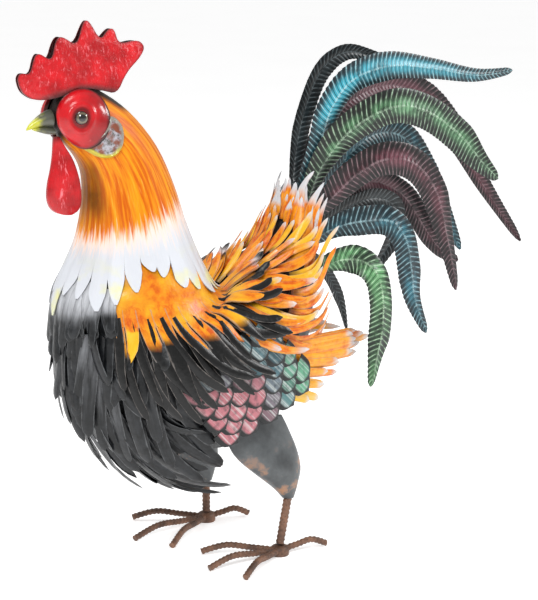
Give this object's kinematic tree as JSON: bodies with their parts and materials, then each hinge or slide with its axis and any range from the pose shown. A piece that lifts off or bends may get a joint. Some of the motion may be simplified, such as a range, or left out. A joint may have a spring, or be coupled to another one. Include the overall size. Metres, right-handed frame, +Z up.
{
  "type": "metal rooster statue",
  "caption": "Standing cockerel ornament of painted sheet metal: layered feather strips, arched tail feathers, red comb and wattle, bar legs and toes.",
  "frame": {"origin": "bottom centre of the bounding box, on the ground under the body", "axes": "+Z up, the bird looks along -Y, its left side is +X"},
  "size_m": [0.1942, 0.595, 0.471],
  "materials": {
    "neck_paint": "gloss orange paint fading to white at the hem",
    "charcoal_paint": "satin charcoal paint",
    "orange_paint": "satin orange paint with pale tips",
    "red_paint": "high gloss red paint",
    "ear_paint": "satin mottled paint",
    "eye_glass": "polished dark amber glass",
    "beak_paint": "satin olive and yellow paint",
    "scale_teal_paint": "satin teal paint with dark outlines",
    "scale_pink_paint": "satin pink paint with dark outlines",
    "thigh_paint": "satin grey paint with a worn rust patch",
    "foot_paint": "matte rust brown paint",
    "tail_slate_paint": "satin slate paint",
    "tail_cyan_paint": "satin blue green paint, dark edges",
    "tail_maroon_paint": "satin brown pink paint, dark edges",
    "tail_green_paint": "satin green paint, dark edges",
    "tail_teal_paint": "satin dark teal paint"
  },
  "bodies": {
    "root": {"beak_lower": "beak_paint", "beak_upper": "beak_paint", "body_skin": "charcoal_paint", "breast_strips_1": "charcoal_paint", "breast_strips_2": "charcoal_paint", "breast_strips_3": "charcoal_paint", "breast_strips_4": "charcoal_paint", "comb_left": "red_paint", "comb_right": "red_paint", "ear_lobe_left": "ear_paint", "ear_lobe_right": "ear_paint", "eye_left": "eye_glass", "eye_right": "eye_glass", "face_left": "red_paint", "face_right": "red_paint", "foot_left": "foot_paint", "foot_right": "foot_paint", "neck_and_head": "neck_paint", "saddle_strips_front": "orange_paint", "saddle_strips_rear": "orange_paint", "shank_left": "foot_paint", "shank_right": "foot_paint", "shoulder_strips_left": "orange_paint", "shoulder_strips_right": "orange_paint", "tail_coverts": "orange_paint", "tail_feather_crown": "tail_cyan_paint", "tail_feather_far_crown": "tail_slate_paint", "tail_feather_far_inner": "tail_maroon_paint", "tail_feather_far_lower": "tail_slate_paint", "tail_feather_far_middle": "tail_teal_paint", "tail_feather_far_outer": "tail_maroon_paint", "tail_feather_far_short": "tail_slate_paint", "tail_feather_inner": "tail_cyan_paint", "tail_feather_lower": "tail_green_paint", "tail_feather_middle": "tail_maroon_paint", "tail_feather_outer": "tail_green_paint", "thigh_left": "thigh_paint", "thigh_right": "thigh_paint", "wattle": "red_paint", "wing_primaries_left": "orange_paint", "wing_primaries_right": "orange_paint", "wing_scales_lower_left": "scale_pink_paint", "wing_scales_lower_right": "scale_pink_paint", "wing_scales_middle_left": "scale_teal_paint", "wing_scales_middle_right": "scale_teal_paint", "wing_scales_upper_left": "scale_teal_paint", "wing_scales_upper_right": "scale_teal_paint"}
  },
  "joints": []
}
